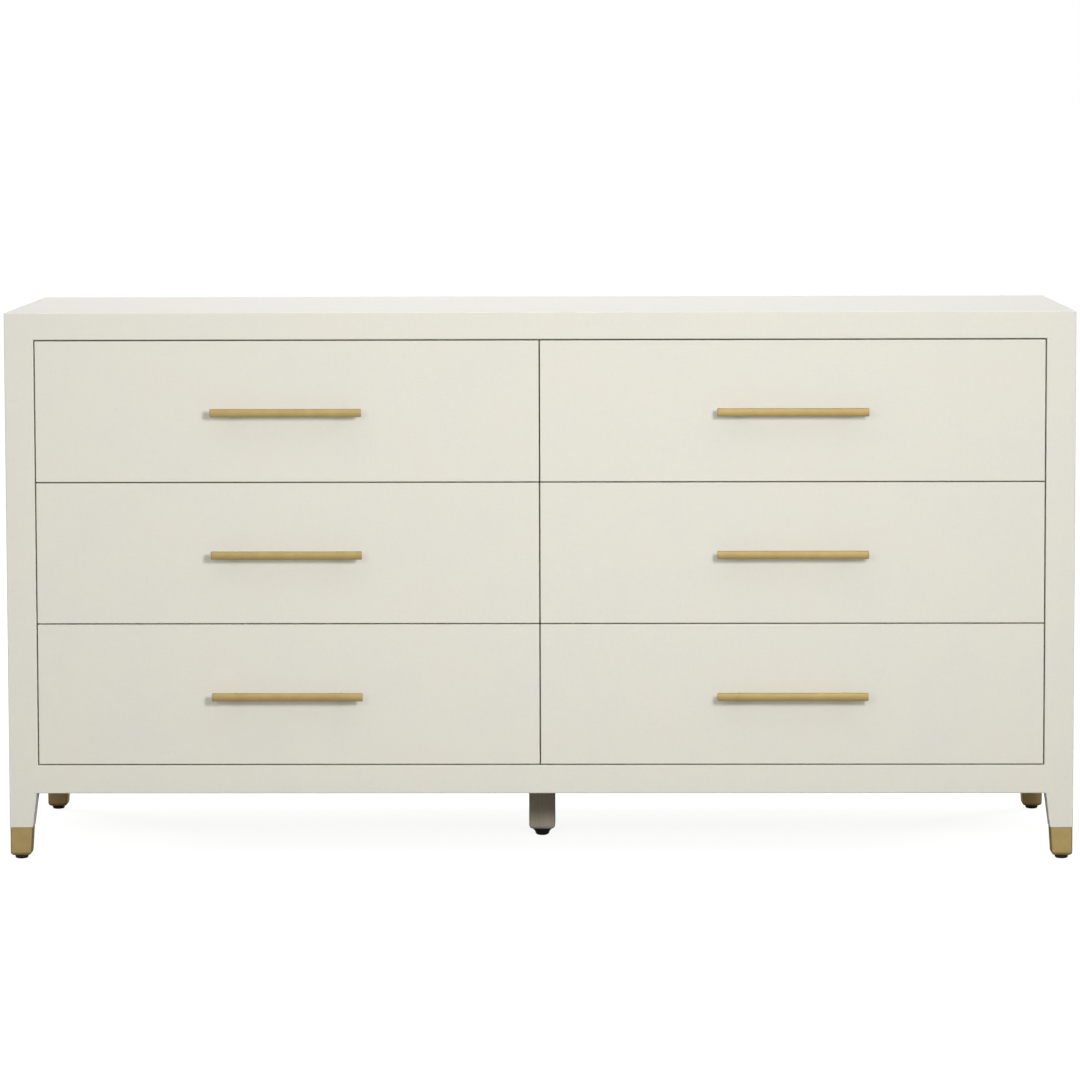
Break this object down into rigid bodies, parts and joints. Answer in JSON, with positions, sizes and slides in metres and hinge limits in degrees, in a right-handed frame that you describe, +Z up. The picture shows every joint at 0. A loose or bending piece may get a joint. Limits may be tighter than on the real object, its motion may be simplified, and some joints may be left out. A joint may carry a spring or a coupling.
{
  "type": "dresser with drawers",
  "caption": "Wide low dresser with flush inset drawers in two columns, bar pulls, tapered legs in metal ferrules, a centre support leg and levelling feet.",
  "frame": {"origin": "on the floor, under the middle of the overall box, pulls included", "axes": "+Z up; +X to the right as seen from the front; the drawer fronts face -Y and the drawers open towards -Y"},
  "size_m": [1.6256, 0.4892, 0.8382],
  "materials": {
    "cream_wrap": "satin lacquer over a fine woven wrap",
    "undercoat": "matte paint",
    "board": "unfinished board",
    "box_wood": "clear satin",
    "hardwood": "waxed",
    "brass": "brushed satin",
    "black_nylon": "moulded"
  },
  "bodies": {
    "case": {"top_panel": "cream_wrap", "side_panel_left": "cream_wrap", "side_panel_right": "cream_wrap", "front_bottom_rail": "cream_wrap", "back_bottom_rail": "board", "bottom_panel": "board", "back_panel": "board", "centre_partition": "board", "divider_upper": "board", "divider_lower": "board", "leg_front_left": "cream_wrap", "leg_front_right": "cream_wrap", "leg_back_left": "cream_wrap", "leg_back_right": "cream_wrap", "leg_centre": "undercoat", "ferrule_front_left": "brass", "ferrule_front_right": "brass", "ferrule_back_left": "brass", "ferrule_back_right": "brass", "guide_rail_top_left": "hardwood", "guide_rail_top_right": "hardwood", "guide_rail_middle_left": "hardwood", "guide_rail_middle_right": "hardwood", "guide_rail_bottom_left": "hardwood", "guide_rail_bottom_right": "hardwood"},
    "levelling_foot_front_left": {"leveller_front_left": "black_nylon"},
    "levelling_foot_front_right": {"leveller_front_right": "black_nylon"},
    "levelling_foot_back_left": {"leveller_back_left": "black_nylon"},
    "levelling_foot_back_right": {"leveller_back_right": "black_nylon"},
    "levelling_foot_centre": {"leveller_centre": "black_nylon"},
    "drawer_top_left": {"drawer_front_top_left": "cream_wrap", "drawer_box_top_left": "box_wood", "drawer_bottom_top_left": "box_wood", "runner_top_left": "hardwood", "pull_top_left": "brass"},
    "drawer_top_right": {"drawer_front_top_right": "cream_wrap", "drawer_box_top_right": "box_wood", "drawer_bottom_top_right": "box_wood", "runner_top_right": "hardwood", "pull_top_right": "brass"},
    "drawer_middle_left": {"drawer_front_middle_left": "cream_wrap", "drawer_box_middle_left": "box_wood", "drawer_bottom_middle_left": "box_wood", "runner_middle_left": "hardwood", "pull_middle_left": "brass"},
    "drawer_middle_right": {"drawer_front_middle_right": "cream_wrap", "drawer_box_middle_right": "box_wood", "drawer_bottom_middle_right": "box_wood", "runner_middle_right": "hardwood", "pull_middle_right": "brass"},
    "drawer_bottom_left": {"drawer_front_bottom_left": "cream_wrap", "drawer_box_bottom_left": "box_wood", "drawer_bottom_bottom_left": "box_wood", "runner_bottom_left": "hardwood", "pull_bottom_left": "brass"},
    "drawer_bottom_right": {"drawer_front_bottom_right": "cream_wrap", "drawer_box_bottom_right": "box_wood", "drawer_bottom_bottom_right": "box_wood", "runner_bottom_right": "hardwood", "pull_bottom_right": "brass"}
  },
  "joints": [
    {"name": "levelling_foot_front_left_screw", "type": "slide", "parent": "case", "child": "levelling_foot_front_left", "axis": [0, 0, -1], "range_m": [0, 0.01]},
    {"name": "levelling_foot_front_right_screw", "type": "slide", "parent": "case", "child": "levelling_foot_front_right", "axis": [0, 0, -1], "range_m": [0, 0.01]},
    {"name": "levelling_foot_back_left_screw", "type": "slide", "parent": "case", "child": "levelling_foot_back_left", "axis": [0, 0, -1], "range_m": [0, 0.01]},
    {"name": "levelling_foot_back_right_screw", "type": "slide", "parent": "case", "child": "levelling_foot_back_right", "axis": [0, 0, -1], "range_m": [0, 0.01]},
    {"name": "levelling_foot_centre_screw", "type": "slide", "parent": "case", "child": "levelling_foot_centre", "axis": [0, 0, -1], "range_m": [0, 0.01]},
    {"name": "drawer_top_left_slide", "type": "slide", "parent": "case", "child": "drawer_top_left", "axis": [0, -1, 0], "range_m": [0, 0.33]},
    {"name": "drawer_top_right_slide", "type": "slide", "parent": "case", "child": "drawer_top_right", "axis": [0, -1, 0], "range_m": [0, 0.33]},
    {"name": "drawer_middle_left_slide", "type": "slide", "parent": "case", "child": "drawer_middle_left", "axis": [0, -1, 0], "range_m": [0, 0.33]},
    {"name": "drawer_middle_right_slide", "type": "slide", "parent": "case", "child": "drawer_middle_right", "axis": [0, -1, 0], "range_m": [0, 0.33]},
    {"name": "drawer_bottom_left_slide", "type": "slide", "parent": "case", "child": "drawer_bottom_left", "axis": [0, -1, 0], "range_m": [0, 0.33]},
    {"name": "drawer_bottom_right_slide", "type": "slide", "parent": "case", "child": "drawer_bottom_right", "axis": [0, -1, 0], "range_m": [0, 0.33]}
  ]
}
